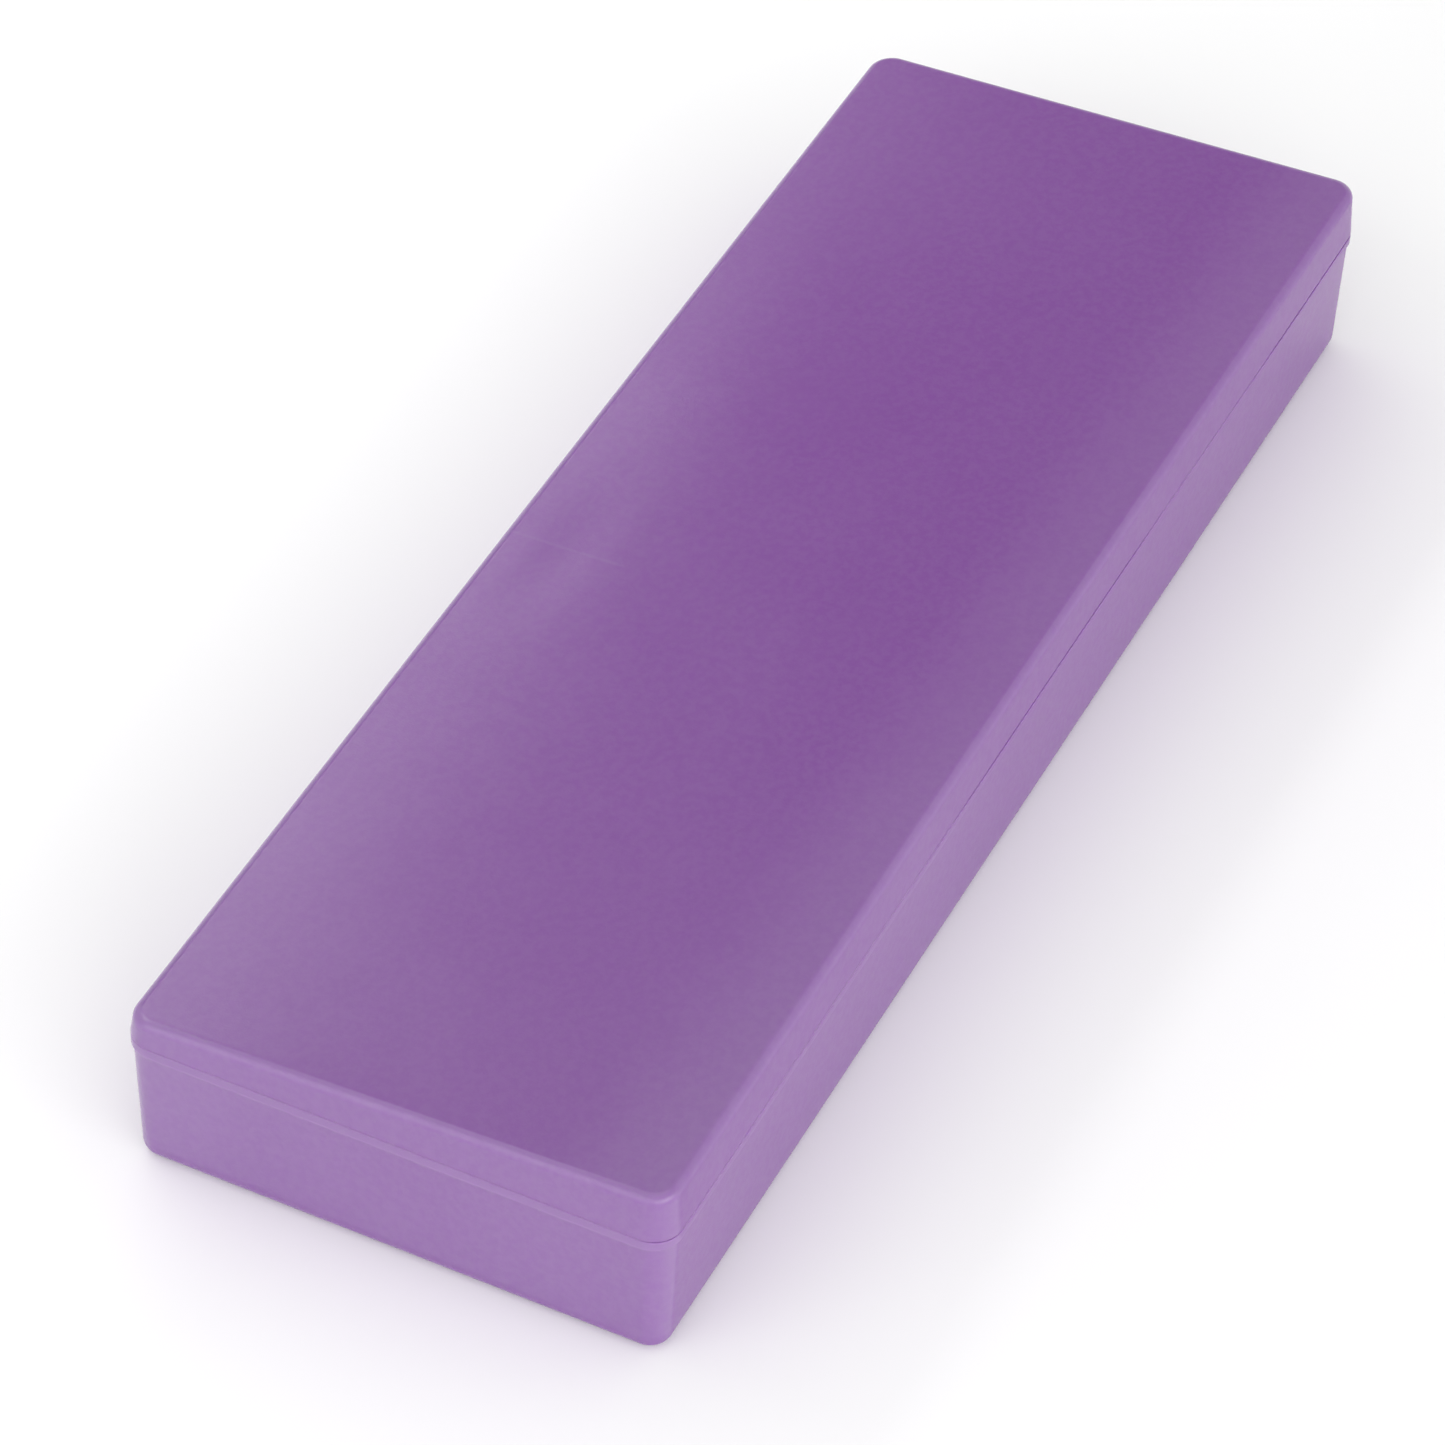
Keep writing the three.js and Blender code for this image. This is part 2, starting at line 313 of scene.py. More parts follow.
def mesh_object(name, vertices, faces):
    """A smooth-shaded piece in the scene, made from its vertices and faces."""
    mesh = bpy.data.meshes.new(name)
    mesh.from_pydata([tuple(v) for v in vertices], [], faces)
    mesh.validate()
    mesh.polygons.foreach_set("use_smooth", [True] * len(mesh.polygons))
    mesh.set_sharp_from_angle(angle=SHARP_ANGLE)
    piece = bpy.data.objects.new(name, mesh)
    bpy.context.scene.collection.objects.link(piece)
    return piece


def skin(rows, count):
    """Four-sided faces that join rows of count points, each row closed on itself."""
    faces = []
    for row in range(rows - 1):
        low, high = row * count, (row + 1) * count
        for i in range(count):
            after = (i + 1) % count
            faces.append((low + i, low + after, high + after, high + i))
    return faces


def flat_panel(x, y):
    """No height over flat anywhere."""
    return 0 * x


def sagging_panel(x, y):
    """Down by LID_SAG at the middle, with no slope at the sides."""
    along = np.cos(math.pi / 2 * np.clip(x / STRAIGHT_X, -1, 1)) ** 2
    across = np.cos(math.pi / 2 * np.clip(y / STRAIGHT_Y, -1, 1)) ** 2
    return -LID_SAG * along * across


def lid_top_panel(x, y):
    """The sagging panel with the faint hollow in it."""
    hollow = np.exp(-((x - SINK_X) / SINK_LONG) ** 2 - ((y - SINK_Y) / SINK_WIDE) ** 2)
    return sagging_panel(x, y) - SINK * hollow


def panel_rings(edge_ring, shape):
    """Rings from an edge ring in to the middle; shape(x, y) is the panel's height over flat."""
    middle = np.array([0, 0, (edge_ring[:, Z].max() + edge_ring[:, Z].min()) / 2])
    rings = []
    for i in range(1, PANEL_RINGS):
        scale = math.cos(math.pi / 2 * i / PANEL_RINGS)
        ring_points = middle + (edge_ring - middle) * scale
        ring_points[:, Z] += shape(ring_points[:, X], ring_points[:, Y])
        rings.append(ring_points)
    return rings, middle + (0, 0, float(shape(0, 0)))


def loft(name, sections, first_shape, last_shape, adjust=None):
    """A closed shell through sections, its first ring capped facing down and its last up.

    adjust(vertices) may move the vertices before the mesh is made.
    """
    rings = [ring(s) for s in sections]
    first_rings, first_centre = panel_rings(rings[0], first_shape)
    last_rings, last_centre = panel_rings(rings[-1], last_shape)
    rings = first_rings[::-1] + rings + last_rings
    vertices = np.vstack([*rings, first_centre, last_centre])
    if adjust:
        adjust(vertices)
    count = len(PLAN)
    faces = skin(len(rings), count)
    first, last = len(vertices) - 2, len(vertices) - 1
    last_row = (len(rings) - 1) * count
    for i in range(count):
        after = (i + 1) % count
        faces.append((first, after, i))
        faces.append((last, last_row + i, last_row + after))
    return mesh_object(name, vertices, faces)


def arc(inset, z, radius, start_deg, end_deg, steps, fall=0.0):
    """Sections on an arc round a centre; 0 degrees points outward and 90 up."""
    found = []
    for i in range(steps + 1):
        angle = math.radians(start_deg + (end_deg - start_deg) * i / steps)
        found.append((inset - radius * math.cos(angle), z + radius * math.sin(angle), fall))
    return found


def between(a, b, share):
    """The section that lies a share of the way from a to b."""
    return tuple(p + (q - p) * share for p, q in zip(a, b))


def straight(a, b, steps):
    """Sections between two sections, the ends left out, closer together near the ends."""
    return [between(a, b, (1 - math.cos(math.pi * i / steps)) / 2) for i in range(1, steps)]


def outer_lip(z, start_deg, end_deg):
    """The rounding between a rim and the outer face, which steps in at the hinge recesses."""
    plain_arc, pocket_arc = [
        arc(inset + LIP_ROUND, z, LIP_ROUND, start_deg, end_deg, OUTER_LIP_STEPS)
        for inset in (0, POCKET_INSET)
    ]
    return [mixed(plain, formed, POCKET) for plain, formed in zip(plain_arc, pocket_arc)]


# ---- shells ---------------------------------------------------------------------------------

def base_inner_inset(z):
    """Inset of the base's inner face."""
    return RIM_WALL + BASE_DRAFT * (BASE_RIM - z)


def base_outer_inset(z):
    """Inset of the base's outer face, below the rim band."""
    return BAND_STEP + BASE_DRAFT * (BASE_RIM - z)


def tongue_face_inset(z):
    """Inset of the tongues' outer face."""
    return base_inner_inset(z) + FIT_CLEARANCE


def lid_outer_inset(z):
    """Inset of the lid's outer face."""
    return LID_DRAFT * (z - LID_RIM)


BEAD_SHARES = (-1, -0.8, -0.5, -0.2, 0.2, 0.5, 0.8, 1)
BEAD_POWER = 2.2            # how full the bead's round profile is


def bead_rings(face_inset, half):
    """A low rounded ridge on a wall, half high on either side of its middle, from its foot up."""
    found = []
    for share in BEAD_SHARES:
        z = BASE_RIM - BEAD_BELOW_RIM + share * half
        rise = BEAD_OUT * (1 - abs(share) ** BEAD_POWER)
        found.append(mixed((face_inset(z), z), (face_inset(z) - rise, z), BEAD))
    return found


POCKET_STEPS = 4            # steps of height up a hinge recess
POCKET_OUTER_BEVEL = 0.04 * MM            # bevel between the outer face and a recess's foot or head
POCKET_INNER_BEVEL = 0.05 * MM            # bevel between that foot or head and the recess's back
POCKET_INNER_RISE = 0.02 * MM             # height of the latter
BESIDE_FOOT = (-0.06 * MM, -0.03 * MM, 0.01 * MM, 0.05 * MM)    # heights of the rings round a foot


def base_band_rings():
    """The rim band's outer face, from just below the hinge recesses up to the rim."""
    foot, rim = BASE_POCKET_FOOT, BASE_RIM - LIP_ROUND
    pocket_foot = (POCKET_INSET, foot + POCKET_INNER_RISE)
    well_below, below, above, well_above = [foot + height for height in BESIDE_FOOT]
    rings = [
        (0, well_below),
        mixed((0, below), (POCKET_OUTER_BEVEL, foot), POCKET),
        mixed((0, above), (POCKET_INSET - POCKET_INNER_BEVEL, foot), POCKET),
    ]
    for i in range(POCKET_STEPS + 1):
        share = i / POCKET_STEPS
        plain = between((0, well_above), (0, rim), share)
        rings.append(mixed(plain, between(pocket_foot, (POCKET_INSET, rim), share), POCKET))
    return rings


BAND_BLEND = 0.15 * MM      # the wall ends this far below the rim band, and a soft step begins
BAND_FOOT_INSET, BAND_FOOT_DROP = 0.02 * MM, 0.05 * MM     # the step's foot
BAND_HEAD_INSET, BAND_HEAD_RISE = 0.06 * MM, 0.16 * MM     # the step's head


def base_shell():
    """The tray: up the outside, over the rim and down the inside."""
    edge, lip = BASE_EDGE_RADIUS, LIP_ROUND
    band_foot = BASE_RIM - BAND_HEIGHT
    below_band = base_outer_inset(band_foot)
    wall_foot = (base_outer_inset(edge), edge)
    wall_top = (below_band, band_foot - BAND_BLEND)
    groove_half = BEAD_HALF + FIT_CLEARANCE
    groove_foot_z = BASE_RIM - BEAD_BELOW_RIM - groove_half
    inner_top = (base_inner_inset(groove_foot_z), groove_foot_z)
    fillet_z = FLOOR + BASE_FILLET
    inner_foot = (base_inner_inset(fillet_z), fillet_z)
    sections = [
        *arc(wall_foot[0] + edge, edge, edge, -90, 0, BASE_EDGE_STEPS),
        *straight(wall_foot, wall_top, BASE_WALL_STEPS),
        wall_top,
        (below_band - BAND_FOOT_INSET, band_foot - BAND_FOOT_DROP),
        (BAND_HEAD_INSET, band_foot + BAND_HEAD_RISE),
        *base_band_rings(),
        *outer_lip(BASE_RIM - lip, 0, 90)[1:],
        *arc(RIM_WALL - lip, BASE_RIM - lip, lip, 90, 180, INNER_LIP_STEPS),
        *bead_rings(base_inner_inset, groove_half)[::-1],
        *straight(inner_top, inner_foot, BASE_WALL_STEPS),
        *arc(inner_foot[0] + BASE_FILLET, fillet_z, BASE_FILLET, 0, -90, FILLET_STEPS),
    ]
    return loft("base_tray", sections, flat_panel, flat_panel, open_seam)


TONGUE_ROUND = 0.2 * MM     # rounding of a tongue's inner bottom edge
TONGUE_HEAD_INSET = 0.02 * MM             # extra inset of its face where that meets the rim
TONGUE_FOOT = 0.3           # share of the inner wall, from the rim up, that its rings take
TONGUE_LATE = 2             # a tongue's ends move inward first, clear of the base, and then dip
ROUND_MIDDLE = 0.3          # distance of a rounding's middle from either face, in radii


def tongue_rings(wall_rim, wall_head):
    """The lid's inner wall near the rim, with the tongues: down their backs and up their faces."""
    tip, lead, turn = TONGUE_TIP, TONGUE_LEAD_IN, TONGUE_ROUND
    back = tongue_face_inset(BASE_RIM) + TONGUE_WALL
    root_z = LID_RIM + TONGUE_ROOT_RISE
    tip_inset = tongue_face_inset(tip)
    slope_head = (LID_WALL, root_z + TONGUE_ROOT_SLOPE * (back - LID_WALL), 0)
    formed_faces = [
        (back, root_z),
        (back, (root_z + tip) / 2),
        (back, tip + turn),
        (back - turn * ROUND_MIDDLE, tip + turn * ROUND_MIDDLE),
        (back - turn, tip),
        (tip_inset + lead, tip),
        (tip_inset + lead * ROUND_MIDDLE, tip + lead * ROUND_MIDDLE),
        (tip_inset, tip + lead),
        *bead_rings(tongue_face_inset, BEAD_HALF),
        (tongue_face_inset(LID_RIM) + TONGUE_HEAD_INSET, LID_RIM),
    ]
    steps = len(formed_faces) + 1
    rings = [mixed(between(wall_rim, wall_head, TONGUE_FOOT), slope_head, TONGUE, TONGUE_LATE)]
    for i, face in enumerate(formed_faces, 1):
        plain = between(wall_rim, wall_head, TONGUE_FOOT * (1 - i / steps))
        rings.append(mixed(plain, face, TONGUE, TONGUE_LATE))
    return rings


POCKET_HEAD = 0.42          # share of the outer wall, from the rim up, that a recess's rings take
ABOVE_POCKET = 0.46         # share of it above which plain rings follow


def lid_pocket_rings(wall_low, wall_high):
    """The lid's outer face beside the hinge recesses, from the rim up."""
    head_z = LID_POCKET_HEAD
    pocket_low = (POCKET_INSET, wall_low[1])
    pocket_high = (POCKET_INSET, head_z - POCKET_INNER_RISE)
    shares = [i / POCKET_STEPS for i in range(1, POCKET_STEPS + 1)]
    formed = [between(pocket_low, pocket_high, share) for share in shares]
    formed.append((POCKET_INSET - POCKET_INNER_BEVEL, head_z))
    formed.append((lid_outer_inset(head_z) + POCKET_OUTER_BEVEL, head_z))
    rings = []
    for i, section in enumerate(formed, 1):
        plain = between(wall_low, wall_high, POCKET_HEAD * i / len(formed))
        rings.append(mixed(plain, section, POCKET))
    return rings


def lid_shell():
    """The cover: down the inside, over the rim and up the outside."""
    edge, lip = LID_EDGE_RADIUS, LIP_ROUND
    fillet_z = HEIGHT - LID_PANEL - LID_FILLET
    inner_head = (LID_WALL + lid_outer_inset(fillet_z), fillet_z, LID_FALL)
    inner_rim = (LID_WALL, LID_RIM + lip, 0)
    edge_z = HEIGHT - edge
    outer_low = (0, LID_RIM + lip, 0)
    outer_high = (lid_outer_inset(edge_z), edge_z, LID_FALL)
    above_pocket = between(outer_low, outer_high, ABOVE_POCKET)
    sections = [
        *arc(inner_head[0] + LID_FILLET, fillet_z, LID_FILLET, 90, 0, FILLET_STEPS, LID_FALL),
        *straight(inner_head, between(inner_rim, inner_head, TONGUE_FOOT), LID_INNER_STEPS),
        *tongue_rings(inner_rim, inner_head),
        *arc(LID_WALL - lip, LID_RIM + lip, lip, 180, 270, INNER_LIP_STEPS),
        *outer_lip(LID_RIM + lip, -90, 0),
        *lid_pocket_rings(outer_low, outer_high),
        *straight(above_pocket, outer_high, LID_OUTER_STEPS),
        *arc(outer_high[0] + edge, edge_z, edge, 0, 90, LID_EDGE_STEPS, LID_FALL),
    ]
    return loft("lid_cover", sections, sagging_panel, lid_top_panel)


# ---- hinge webs -----------------------------------------------------------------------------

LEAF_EDGE = 0.12 * MM       # rounding of a leaf's long edges
LEAF_END_TUCK = 0.6         # share of that by which its end faces are smaller
FILM_HALF = 0.45 * MM       # free height of the film on either side of the fold line
FILM = 0.3 * MM             # its thickness
FILM_OVERLAP = 0.06 * MM    # how far it reaches into either leaf
FILM_END_MARGIN = 0.3 * MM  # how much shorter than the leaves it is at either end
FILM_BEHIND = 0.02 * MM     # how far its outer face lies inside theirs
FILM_STEPS = 16             # steps of height, for the bend
WEB_STEPS = 26              # steps along the case
ROUND_STEPS = 3             # steps round a leaf's edge


def prism_along_x(name, slices):
    """A closed body through slices, each a list of points at one x, wound alike."""
    count = len(slices[0])
    last = (len(slices) - 1) * count
    vertices = [p for points in slices for p in points]
    faces = skin(len(slices), count)
    faces.append(tuple(range(count))[::-1])
    faces.append(tuple(range(last, last + count)))
    return mesh_object(name, vertices, faces)


def leaf_slice(x, y0, y1, z0, z1):
    """A rectangle in the YZ plane with rounded corners, counter-clockwise seen from +X."""
    radius = LEAF_EDGE
    centres = (
        (y1 - radius, z0 + radius), (y1 - radius, z1 - radius),
        (y0 + radius, z1 - radius), (y0 + radius, z0 + radius),
    )
    points = []
    for quarter, (y, z) in enumerate(centres):
        for i in range(ROUND_STEPS + 1):
            angle = math.pi / 2 * (quarter - 1 + i / ROUND_STEPS)
            points.append((x, y + radius * math.cos(angle), z + radius * math.sin(angle)))
    return points


def hinge_leaf(name, node, below_fold):
    """An upright strip let into the back wall; the film takes over near the fold line."""
    low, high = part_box(node)
    z0, z1 = (low.z, HINGE_Z - FILM_HALF) if below_fold else (HINGE_Z + FILM_HALF, high.z)
    slices = []
    for i in range(WEB_STEPS + 1):
        x = low.x + (high.x - low.x) * i / WEB_STEPS
        tuck = LEAF_EDGE * LEAF_END_TUCK if i in (0, WEB_STEPS) else 0
        slices.append(leaf_slice(x, low.y + tuck, high.y - tuck, z0 + tuck, z1 - tuck))
    return prism_along_x(name, slices)


def hinge_film(name, node):
    """The thin skin between two leaves, straight, as it lies while the case is closed."""
    low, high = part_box(node)
    reach = FILM_HALF + FILM_OVERLAP
    heights = [HINGE_Z + reach * (2 * k / FILM_STEPS - 1) for k in range(FILM_STEPS + 1)]
    face, back = high.y - FILM_BEHIND, high.y - FILM
    length = high.x - low.x - 2 * FILM_END_MARGIN
    slices = []
    for i in range(WEB_STEPS + 1):
        x = low.x + FILM_END_MARGIN + length * i / WEB_STEPS
        slices.append([(x, face, z) for z in heights] + [(x, back, z) for z in heights[::-1]])
    return prism_along_x(name, slices)


# ---- materials ------------------------------------------------------------------------------

class Nodes:
    """A short way to write a material's node tree."""

    def __init__(self, name):
        self.material = bpy.data.materials.new(name)
        self.material.use_nodes = True
        self.tree = self.material.node_tree
        self.shader = self.tree.nodes["Principled BSDF"]
        coordinates = self.add("ShaderNodeTexCoord")
        self.place = coordinates.outputs["Object"]
        self.normal = coordinates.outputs["Normal"]

    def add(self, kind, **values):
        """A new node of a kind, with its properties set."""
        node = self.tree.nodes.new(kind)
        for key, value in values.items():
            setattr(node, key, value)
        return node

    def fill(self, socket, value):
        """Give a socket a number or colour, or link another node's output to it."""
        if hasattr(value, "is_output"):
            self.tree.links.new(value, socket)
        else:
            socket.default_value = value

    def noise(self, scale, detail, roughness=0.5):
        """Cloudy noise from about 0 to 1 in the piece's own space."""
        node = self.add("ShaderNodeTexNoise")
        self.fill(node.inputs["Vector"], self.place)
        self.fill(node.inputs["Scale"], scale)
        self.fill(node.inputs["Detail"], detail)
        self.fill(node.inputs["Roughness"], roughness)
        return node.outputs["Fac"]

    def math(self, operation, *values):
        """The result of an operation on numbers or outputs."""
        node = self.add("ShaderNodeMath", operation=operation)
        for socket, value in zip(node.inputs, values):
            self.fill(socket, value)
        return node.outputs[0]

    def remap(self, value, low, high, new_low, new_high):
        """Smoothly from new_low to new_high as value goes from low to high."""
        node = self.add("ShaderNodeMapRange", interpolation_type="SMOOTHSTEP")
        for socket, number in zip(node.inputs, (value, low, high, new_low, new_high)):
            self.fill(socket, number)
        return node.outputs[0]

    def mix(self, share, a, b):
        """A colour that goes from a to b as share goes from 0 to 1."""
        node = self.add("ShaderNodeMix", data_type="RGBA")
        colour_a, colour_b, result = node.inputs[6], node.inputs[7], node.outputs[2]
        self.fill(node.inputs["Factor"], share)
        self.fill(colour_a, a)
        self.fill(colour_b, b)
        return result

    def part_of(self, vector, index):
        """One component of a vector."""
        node = self.add("ShaderNodeSeparateXYZ")
        self.fill(node.inputs[0], vector)
        return node.outputs[index]

    def axis(self, index):
        """The place along one of the piece's axes."""
        return self.part_of(self.place, index)

    def facing(self, index):
        """How much the surface faces along one of the piece's axes, either way, from 0 to 1."""
        return self.math("ABSOLUTE", self.part_of(self.normal, index))

    def distance(self, index, middle):
        """The distance along an axis from a middle."""
        return self.math("ABSOLUTE", self.math("SUBTRACT", self.axis(index), middle))

    def bump(self, height, distance, strength, normal=None):
        """The surface's normal, or another one, disturbed by a height."""
        node = self.add("ShaderNodeBump")
        self.fill(node.inputs["Height"], height)
        self.fill(node.inputs["Distance"], distance)
        self.fill(node.inputs["Strength"], strength)
        if normal is not None:
            self.fill(node.inputs["Normal"], normal)
        return node.outputs[0]


PURPLE = (0.177, 0.042, 0.268, 1)
# the pale tint carries the painted light and shade below, as well as the random clouds and mottle
PURPLE_PALE = (0.262, 0.150, 0.345, 1)
PURPLE_THIN = (0.240, 0.110, 0.330, 1)
KNIT_LINE_X = -7.5 * MM     # where two plastic flows met, between the hinge webs
KNIT_LINE_END_Y = 16 * MM
KNIT_LINE_FADE = 4 * MM

# Shares of the pale tint, which is painted light: walls and edges get more of it than the top,
# standing in for light that gets into them.
PAINTED_LIGHT_TURNED = 0.65          # painted light on corners and ends
PAINTED_GLOW_HINGE_SIDE = 0.12      # more painted light on those near the hinge, a painted glow through the back wall
LESS_PAINTED_LIGHT_ON_FLAT_END = 0.15
PAINTED_HIGHLIGHT_BAND = 0.26            # painted highlight on the rim band of an end
BAND_RIGHT, BAND_LEFT = 0.1, 0.6          # how much of that on the long sides' right and left
PAINTED_LIGHT_LEFT_WALL = 0.27
PAINTED_LIGHT_LID_WALL = 0.04
PAINTED_HIGHLIGHT_LONG_EDGE = 0.58       # painted highlight on the rounded edges of the long sides
PAINTED_LIGHT_RIGHT_TOP, PAINTED_LIGHT_LEFT_TOP = 0.04, 0.44
PAINTED_LIGHT_FRONT_TOP = 0.35
PALE_KNIT_LINE = 0.10


def band_painted_highlight(nodes, facing_end):
    """Share of the pale tint painted as a highlight on the rim band: whole at the ends, less along
    the sides.
    """
    from_middle = nodes.distance(Z, BASE_RIM - BAND_HEIGHT * 0.6)
    band = nodes.remap(from_middle, BAND_HEIGHT * 0.1, BAND_HEIGHT * 0.8, PAINTED_HIGHLIGHT_BAND, 0.0)
    along = nodes.remap(nodes.axis(X), -5 * MM, -30 * MM, BAND_RIGHT, BAND_LEFT)
    return nodes.math("MULTIPLY", band, nodes.math("MAXIMUM", facing_end, along))


def end_painted_light(nodes, turned):
    """Share of the pale tint painted as light on corners and ends, where turned is 1, and as a
    highlight on the rim band.
    """
    facing_end = nodes.facing(X)
    flat_end = nodes.remap(facing_end, 0.40, 0.95, 0.0, LESS_PAINTED_LIGHT_ON_FLAT_END)
    near, nearer = HALF_WIDTH - 18 * MM, HALF_WIDTH - 4 * MM
    # painted glow: paler near the back wall, as if lit through it
    painted_hinge_side_glow = nodes.remap(nodes.axis(Y), near, nearer, 0.0, PAINTED_GLOW_HINGE_SIDE)
    # painted shade: no pale tint near the foot, so it stays darker there
    clear_of_painted_foot_shade = nodes.remap(nodes.axis(Z), 0.5 * MM, 3.2 * MM, 0.0, 1.0)
    ends = nodes.math("MULTIPLY", nodes.math("ADD", painted_hinge_side_glow, PAINTED_LIGHT_TURNED), turned)
    ends = nodes.math("SUBTRACT", ends, flat_end)
    ends = nodes.math("ADD", ends, band_painted_highlight(nodes, facing_end))
    return nodes.math("MULTIPLY", ends, clear_of_painted_foot_shade)


def side_painted_light(nodes, turned):
    """Painted light on all walls: more to the left, on the lid, and on the rounded long edges."""
    # painted light: the walls paler towards the left end and on the lid
    left = nodes.remap(nodes.axis(X), 95 * MM, -75 * MM, 0.0, PAINTED_LIGHT_LEFT_WALL)
    lid = nodes.remap(nodes.axis(Z), HINGE_Z, HINGE_Z + 1 * MM, 0.0, PAINTED_LIGHT_LID_WALL)
    # painted highlight along the rounded long edges
    edge = nodes.remap(nodes.facing(Z), 0.06, 0.50, 0.0, PAINTED_HIGHLIGHT_LONG_EDGE)
    # painted shade: the edges get no pale tint near the foot
    clear_of_painted_foot_shade = nodes.remap(nodes.axis(Z), 2 * MM, 4 * MM, 0.0, 1.0)
    edge = nodes.math("MULTIPLY", edge, clear_of_painted_foot_shade)
    edge = nodes.math("MULTIPLY", edge, nodes.math("SUBTRACT", 1.0, turned))
    return nodes.math("ADD", nodes.math("ADD", left, lid), edge)


def top_painted_light_and_knit_line(nodes):
    """Painted light on level faces, more to the left and the front, and the pale knit line."""
    # painted light: the top paler towards the left end and the front edge
    left = nodes.remap(nodes.axis(X), 45 * MM, -120 * MM, PAINTED_LIGHT_RIGHT_TOP, PAINTED_LIGHT_LEFT_TOP)
    near, nearer = -HALF_WIDTH + 18 * MM, -HALF_WIDTH + 1 * MM
    front = nodes.remap(nodes.axis(Y), near, nearer, 0.0, PAINTED_LIGHT_FRONT_TOP)
    from_line = nodes.distance(X, KNIT_LINE_X)
    line = nodes.remap(from_line, 0.10 * MM, 0.35 * MM, PALE_KNIT_LINE, 0.0)
    fade_end = KNIT_LINE_END_Y + KNIT_LINE_FADE
    reach = nodes.remap(nodes.axis(Y), KNIT_LINE_END_Y, fade_end, 0.0, 1.0)
    return nodes.math("ADD", nodes.math("ADD", left, front), nodes.math("MULTIPLY", line, reach))


def painted_light_and_knit_line(nodes):
    """Share of the pale tint, by place and by the way that the surface faces: painted light and
    shade, and the knit line.
    """
    turned = nodes.remap(nodes.facing(X), 0.02, 0.30, 0.0, 1.0)
    level = nodes.remap(nodes.facing(Z), 0.92, 0.999, 0.0, 1.0)
    wall = nodes.math("SUBTRACT", 1.0, level)
    sides = nodes.math("MULTIPLY", side_painted_light(nodes, turned), wall)
    top = nodes.math("MULTIPLY", top_painted_light_and_knit_line(nodes), level)
    return nodes.math("ADD", nodes.math("ADD", sides, top), end_painted_light(nodes, turned))


# Fineness of the surface's unevenness, in noise cells per metre
CLOUD_SCALE = 22
SWAY_SCALE = 55
SMEAR_SCALE = 60
MOTTLE_SCALE = 900
GRAIN_SCALE = 3600

NOISE_RANGE = (0.3, 0.7)    # the noise mostly lies in here
CLOUD_RANGE = (0.35, 0.65)
CLOUD_TINT = (-0.03, 0.05)  # what the clouds, and the mottle, add to the share of the pale tint
MOTTLE_TINT = (-0.05, 0.05)
SMEAR_ROUGHNESS = (0.11, 0.19)
GRAIN_ROUGHNESS = (-0.03, 0.03)           # what the grain adds to that
SWAY_HEIGHT, SWAY_STRENGTH = 0.12 * MM, 0.25
GRAIN_HEIGHT, GRAIN_STRENGTH = 0.03 * MM, 0.6
PLASTIC_IOR = 1.49
SCATTER_WEIGHT = 0.85
SCATTER_DEPTH = 1.2 * MM
SCATTER_COLOURS = (1.0, 0.55, 1.2)        # how deep red, green and blue go, relative to that


def frosted(name, colour, pale):
    """Frosted polypropylene: glossy with a fine grain, and with painted light in a pale tint where
    light gets into it.
    """
    nodes = Nodes(name)
    shader = nodes.shader.inputs
    cloud = nodes.remap(nodes.noise(CLOUD_SCALE, 2.0), *CLOUD_RANGE, *CLOUD_TINT)
    mottle = nodes.remap(nodes.noise(MOTTLE_SCALE, 2.0, 0.6), *NOISE_RANGE, *MOTTLE_TINT)
    share = nodes.math("ADD", nodes.math("ADD", cloud, mottle), painted_light_and_knit_line(nodes))
    nodes.fill(shader["Base Color"], nodes.mix(share, colour, pale))
    grain = nodes.noise(GRAIN_SCALE, 3.0, 0.7)
    smeared = nodes.remap(nodes.noise(SMEAR_SCALE, 3.0, 0.6), *NOISE_RANGE, *SMEAR_ROUGHNESS)
    grained = nodes.remap(grain, *NOISE_RANGE, *GRAIN_ROUGHNESS)
    nodes.fill(shader["Roughness"], nodes.math("ADD", smeared, grained))
    sway = nodes.bump(nodes.noise(SWAY_SCALE, 1.0), SWAY_HEIGHT, SWAY_STRENGTH)
    nodes.fill(shader["Normal"], nodes.bump(grain, GRAIN_HEIGHT, GRAIN_STRENGTH, sway))
    nodes.fill(shader["IOR"], PLASTIC_IOR)
    nodes.fill(shader["Subsurface Weight"], SCATTER_WEIGHT)
    nodes.fill(shader["Subsurface Radius"], SCATTER_COLOURS)
    nodes.fill(shader["Subsurface Scale"], SCATTER_DEPTH)
    return nodes.material


def dress(piece, material):
    """Give a piece its one material."""
    piece.data.materials.append(material)


# ---- assembly -------------------------------------------------------------------------------

shell_plastic = frosted("frosted_shell", PURPLE, PURPLE_PALE)
hinge_plastic = frosted("frosted_hinge", PURPLE_THIN, PURPLE_THIN)

tray = base_shell()
dress(tray, shell_plastic)
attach(tray, "base")
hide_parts("base_shell")

cover = lid_shell()
dress(cover, shell_plastic)
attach(cover, "lid")
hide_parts("lid_shell")

for side in ("left", "right"):
    for body in ("base", "lid"):
        node = f"hinge_leaf_{body}_{side}"
        leaf = hinge_leaf(f"web_{body}_{side}", node, body == "base")
        dress(leaf, hinge_plastic)
        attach(leaf, body)
        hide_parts(node)
    film = hinge_film(f"film_{side}", f"hinge_leaf_base_{side}")
    dress(film, hinge_plastic)
    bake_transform(film)


# ---- stage, light and camera ----------------------------------------------------------------

STAGE_REACH = 6.0
STAGE_COLOUR = (0.88, 0.88, 0.88, 1)
STAGE_ROUGHNESS = 0.8
WORLD_LEVEL = 1.0           # strength of the surroundings at the horizon
WORLD_OVERHEAD = 0.75       # and near the zenith
WORLD_OVERHEAD_FROM = 0.9   # sine of the elevation from which the second holds


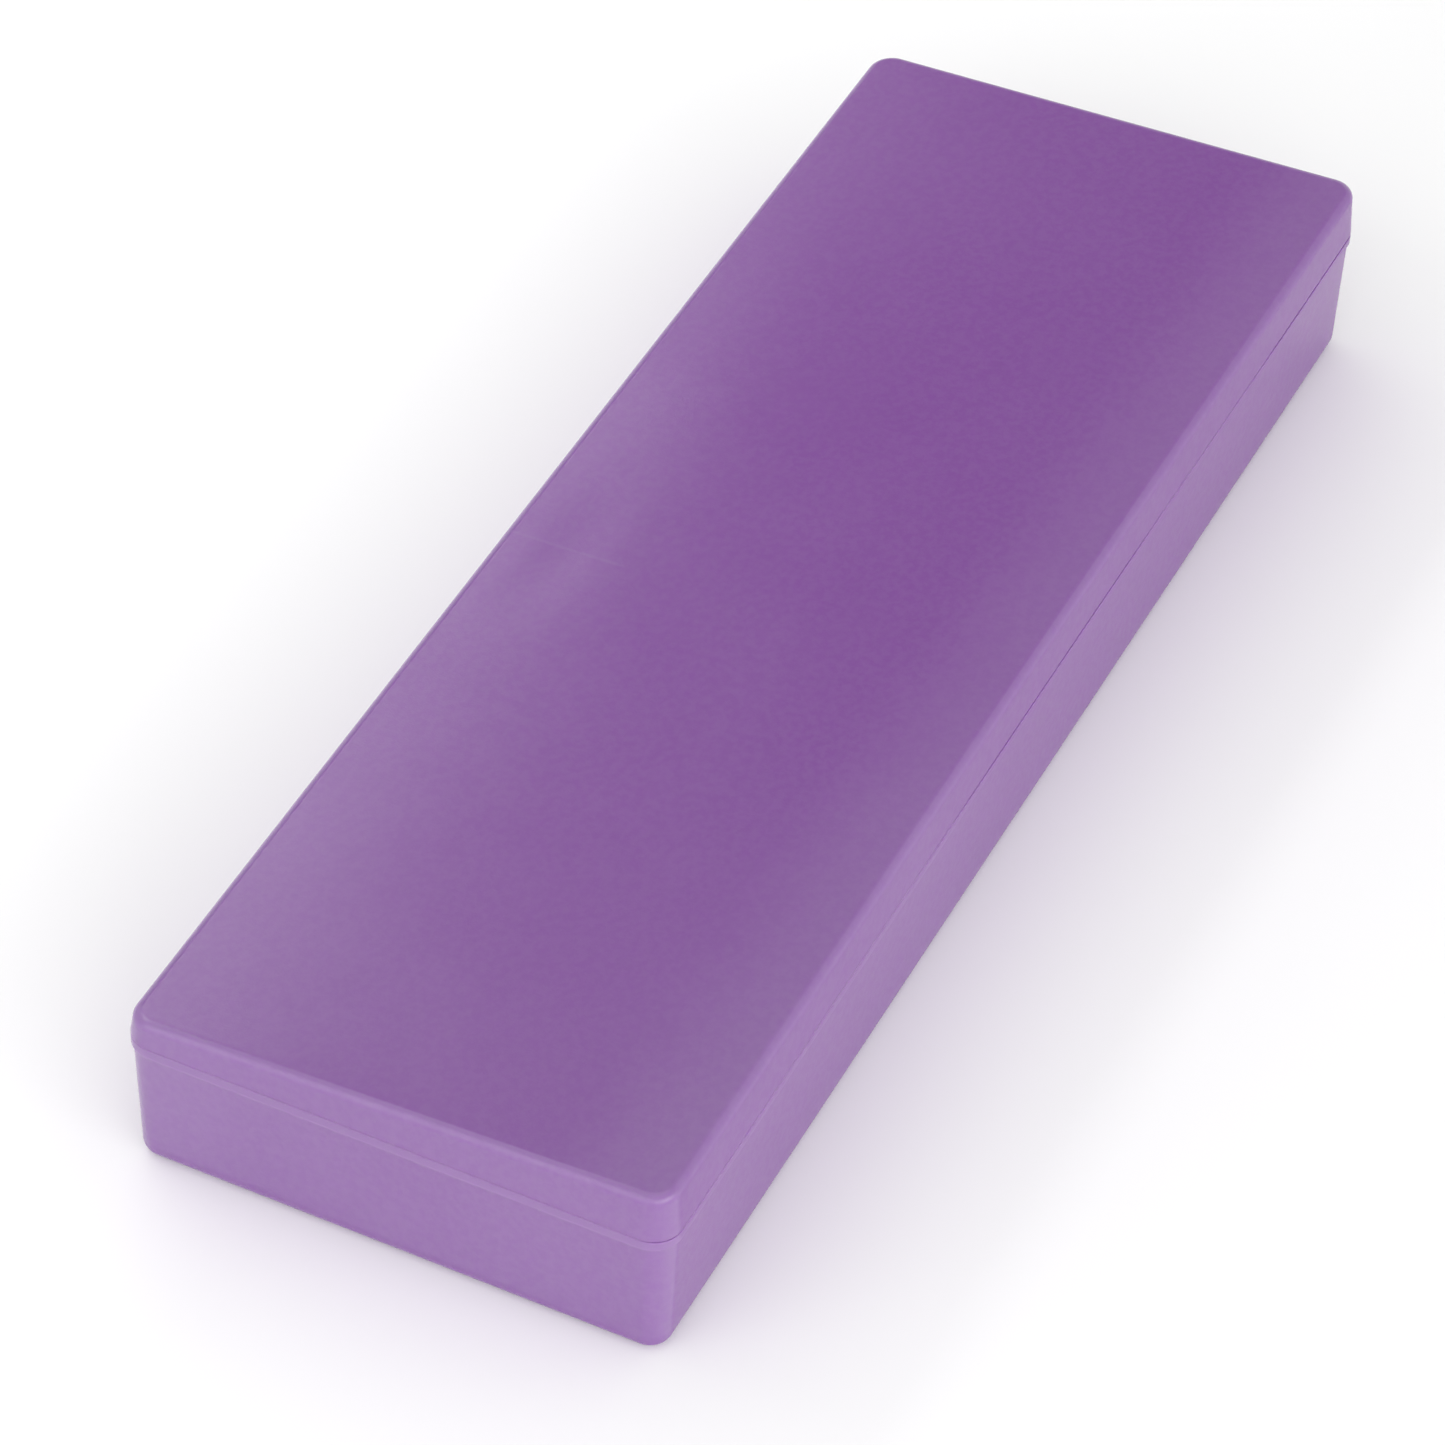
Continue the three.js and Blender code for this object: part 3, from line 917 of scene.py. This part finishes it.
def studio_floor():
    """A plain pale floor under the case."""
    mesh = bpy.data.meshes.new("studio_floor")
    corners = [
        (side_x * STAGE_REACH, side_y * STAGE_REACH, 0)
        for side_x, side_y in ((-1, -1), (1, -1), (1, 1), (-1, 1))
    ]
    mesh.from_pydata(corners, [], [(0, 1, 2, 3)])
    floor = bpy.data.objects.new("studio_floor", mesh)
    bpy.context.scene.collection.objects.link(floor)
    paper = Nodes("floor_paper")
    paper.fill(paper.shader.inputs["Base Color"], STAGE_COLOUR)
    paper.fill(paper.shader.inputs["Roughness"], STAGE_ROUGHNESS)
    dress(floor, paper.material)


def area_light(name, place, aim, size, power):
    """A white rectangular softbox at place that faces aim."""
    data = bpy.data.lights.new(name, "AREA")
    data.shape = "RECTANGLE"
    data.size, data.size_y = size
    data.energy = power
    light = bpy.data.objects.new(name, data)
    bpy.context.scene.collection.objects.link(light)
    light.location = place
    light.rotation_euler = (Vector(aim) - Vector(place)).to_track_quat("-Z", "Y").to_euler()


def studio_world():
    """White surroundings, brighter near the horizon than overhead."""
    world = bpy.data.worlds.new("studio")
    world.use_nodes = True
    tree = world.node_tree
    background = tree.nodes["Background"]
    background.inputs["Color"].default_value = (1, 1, 1, 1)
    place = tree.nodes.new("ShaderNodeTexCoord")
    split = tree.nodes.new("ShaderNodeSeparateXYZ")
    fade = tree.nodes.new("ShaderNodeMapRange")
    tree.links.new(place.outputs["Generated"], split.inputs[0])
    tree.links.new(split.outputs[2], fade.inputs[0])
    numbers = (0.0, WORLD_OVERHEAD_FROM, WORLD_LEVEL, WORLD_OVERHEAD)
    for socket, value in zip(fade.inputs[1:5], numbers):
        socket.default_value = value
    tree.links.new(fade.outputs[0], background.inputs["Strength"])
    bpy.context.scene.world = world


LIGHTS = (
    # name, place, aim, size, power in watts
    ("key", (-0.5, -0.85, 0.34), (0, 0, 0), (1.4, 0.64), 6.9),
    ("front", (-1.3, 0.35, 0.8), (0, 0, 0), (1.6, 1.3), 7.5),
    ("back_softbox", (0.06, 0.165, 0.20), (0.06, 0.165, 0), (0.38, 0.056), 0.170),
    ("far_softbox", (0.31, 0.175, 0.20), (0.31, 0.175, 0), (0.12, 0.056), 0.034),
)

VIEW_AZIMUTH = math.radians(-155.33)   # where the camera stands, turned from +X
VIEW_ELEVATION = math.radians(43.54)
VIEW_ROLL = math.radians(2.12)
VIEW_DISTANCE = 0.7972
VIEW_AIM = Vector((-0.015542, 0.000471, 0.012))
LENS_MM = 161.92
SENSOR_MM = 36


def photo_camera():
    """The camera, at the photograph's viewing angle."""
    data = bpy.data.cameras.new("camera")
    data.sensor_width = SENSOR_MM
    data.lens = LENS_MM
    camera = bpy.data.objects.new("camera", data)
    bpy.context.scene.collection.objects.link(camera)
    flat = math.cos(VIEW_ELEVATION)
    towards = Vector((
        flat * math.cos(VIEW_AZIMUTH),
        flat * math.sin(VIEW_AZIMUTH),
        math.sin(VIEW_ELEVATION),
    ))
    camera.location = VIEW_AIM + VIEW_DISTANCE * towards
    turn = (-towards).to_track_quat("-Z", "Y").to_matrix() @ Matrix.Rotation(VIEW_ROLL, 3, "Z")
    camera.rotation_euler = turn.to_euler()
    bpy.context.scene.camera = camera


studio_floor()
studio_world()
for light in LIGHTS:
    area_light(*light)
photo_camera()
bpy.context.scene.view_settings.view_transform = "Standard"
bpy.context.scene.view_settings.look = "None"
